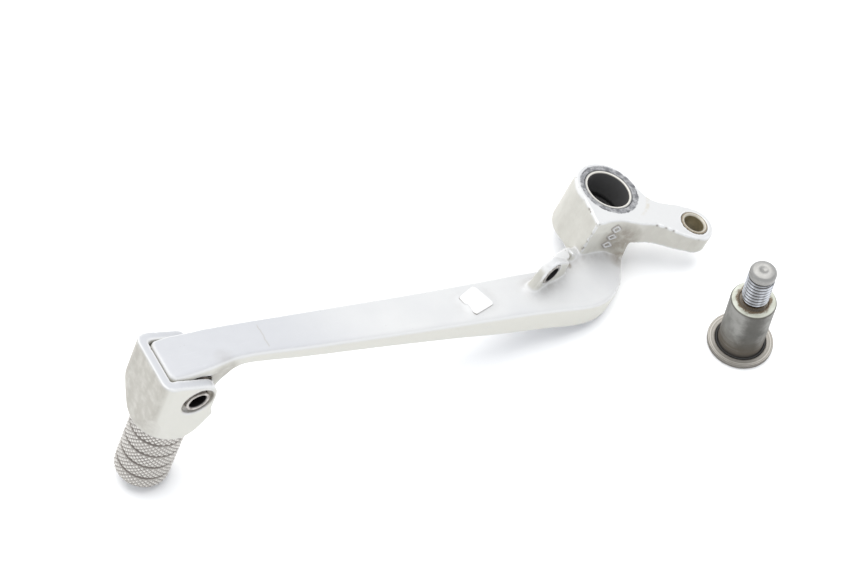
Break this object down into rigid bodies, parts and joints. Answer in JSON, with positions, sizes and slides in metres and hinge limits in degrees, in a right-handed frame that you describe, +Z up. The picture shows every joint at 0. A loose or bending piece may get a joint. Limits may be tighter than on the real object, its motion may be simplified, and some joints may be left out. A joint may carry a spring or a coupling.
{
  "type": "motorcycle gear shift lever",
  "caption": "Foot lever with a bored boss, a short linkage arm, a long arm and a folding knurled toe peg, with its shoulder pivot bolt standing beside it.",
  "frame": {"origin": "on the bench, under the middle of the lever and bolt together", "axes": "+X from the toe peg toward the linkage end, +Y away from the bolt, +Z up from the bench"},
  "size_m": [0.1838, 0.0724, 0.0521],
  "materials": {
    "silver_paint": "satin silver paint on a forged aluminium lever, worn bright along its edges",
    "bush_steel": "bright worn bore",
    "bush_brass": "dull, stained brown",
    "dark_steel": "dull and dirty",
    "spring_steel": "brown with light rust",
    "peg_steel": "plated and knurled, with dirt in the knurl",
    "bolt_steel": "zinc gone dull grey-brown, bright thread",
    "seal_rubber": "matte"
  },
  "bodies": {
    "bolt": {"pivot_bolt": "bolt_steel", "flange_washer": "bolt_steel", "dust_seal": "seal_rubber"},
    "lever": {"lever_arm": "silver_paint", "pivot_bush_upper": "bush_steel", "pivot_bush_lower": "bush_steel", "linkage_bush": "bush_brass", "lug_insert": "dark_steel", "hinge_bush": "bush_brass", "hinge_shim": "dark_steel", "torsion_spring": "spring_steel"},
    "toe": {"toe_clevis": "silver_paint", "toe_peg": "peg_steel", "peg_screw": "dark_steel", "hinge_pin": "dark_steel"}
  },
  "joints": [
    {"name": "lever_swing", "type": "hinge", "parent": "bolt", "child": "lever", "pos_m": [0.06692, 0.02457, 0.02122], "axis": [0.2952, -0.074, 0.9526], "range_deg": [-12, 12]},
    {"name": "toe_fold", "type": "hinge", "parent": "lever", "child": "toe", "pos_m": [-0.07228, 0.01405, 0.04045], "axis": [0, -0.997, -0.0774], "range_deg": [0, 55], "stiffness_Nm_per_rad": 0.25, "springref_deg": -20.05}
  ]
}
